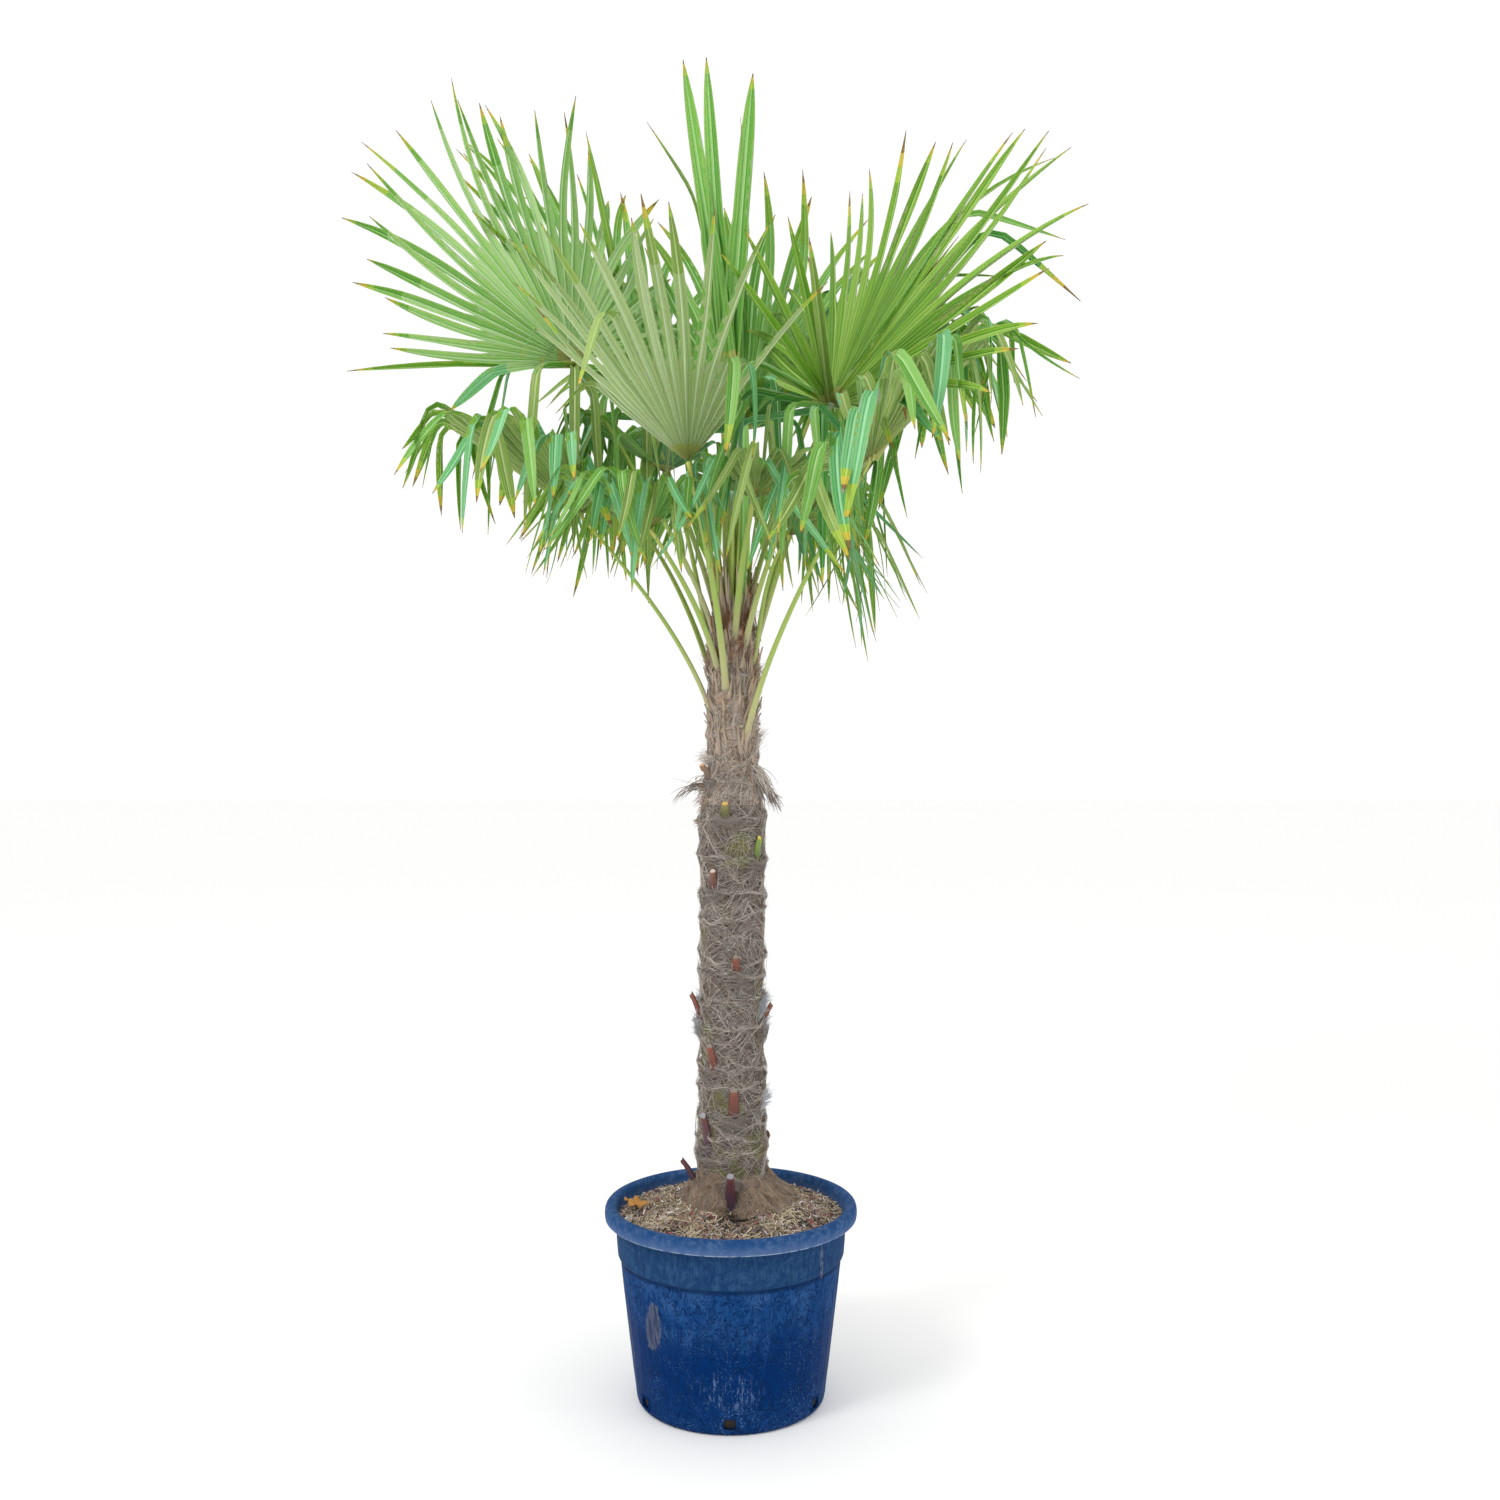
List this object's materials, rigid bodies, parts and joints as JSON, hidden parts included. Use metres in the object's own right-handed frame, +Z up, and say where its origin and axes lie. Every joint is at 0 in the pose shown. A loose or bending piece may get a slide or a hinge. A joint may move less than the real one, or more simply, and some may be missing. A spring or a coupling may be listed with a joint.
{
  "type": "potted windmill palm",
  "caption": "Fan-leaved palm with a fibrous trunk, standing in a round blue plastic nursery pot filled with mulched soil.",
  "frame": {"origin": "centre of the pot's flat underside, on the ground", "axes": "+Z up along the trunk, -Y towards the plant's front, +X to its right as seen from the front"},
  "size_m": [1.7015, 1.8767, 3.3153],
  "materials": {
    "blue_plastic": "satin",
    "mulch": "matte",
    "fibrous_bark": "matte",
    "leaf_base": "matte",
    "leaf_stalk": "satin",
    "leaf_blade": "satin"
  },
  "bodies": {
    "root": {"blade_far_back": "leaf_blade", "blade_far_right": "leaf_blade", "blade_front_centre": "leaf_blade", "blade_front_left": "leaf_blade", "blade_front_low": "leaf_blade", "blade_front_right": "leaf_blade", "blade_inner_left": "leaf_blade", "blade_low_back": "leaf_blade", "blade_low_back_left": "leaf_blade", "blade_low_back_right": "leaf_blade", "blade_low_right": "leaf_blade", "blade_lower_left": "leaf_blade", "blade_spear": "leaf_blade", "blade_upper_back": "leaf_blade", "blade_upper_back_left": "leaf_blade", "blade_upper_back_right": "leaf_blade", "blade_upper_left": "leaf_blade", "blade_upper_right": "leaf_blade", "cut_leaf_base_01": "leaf_base", "cut_leaf_base_02": "leaf_base", "cut_leaf_base_03": "leaf_base", "cut_leaf_base_04": "leaf_base", "cut_leaf_base_05": "leaf_base", "cut_leaf_base_06": "leaf_base", "cut_leaf_base_07": "leaf_base", "cut_leaf_base_08": "leaf_base", "cut_leaf_base_09": "leaf_base", "cut_leaf_base_10": "leaf_base", "cut_leaf_base_11": "leaf_base", "cut_leaf_base_12": "leaf_base", "cut_leaf_base_13": "leaf_base", "cut_leaf_base_14": "leaf_base", "cut_leaf_base_15": "leaf_base", "cut_leaf_base_16": "leaf_base", "cut_leaf_base_17": "leaf_base", "pot": "blue_plastic", "potting_soil": "mulch", "stalk_far_back": "leaf_stalk", "stalk_far_right": "leaf_stalk", "stalk_front_centre": "leaf_stalk", "stalk_front_left": "leaf_stalk", "stalk_front_low": "leaf_stalk", "stalk_front_right": "leaf_stalk", "stalk_inner_left": "leaf_stalk", "stalk_low_back": "leaf_stalk", "stalk_low_back_left": "leaf_stalk", "stalk_low_back_right": "leaf_stalk", "stalk_low_right": "leaf_stalk", "stalk_lower_left": "leaf_stalk", "stalk_spear": "leaf_stalk", "stalk_upper_back": "leaf_stalk", "stalk_upper_back_left": "leaf_stalk", "stalk_upper_back_right": "leaf_stalk", "stalk_upper_left": "leaf_stalk", "stalk_upper_right": "leaf_stalk", "trunk": "fibrous_bark"}
  },
  "joints": []
}
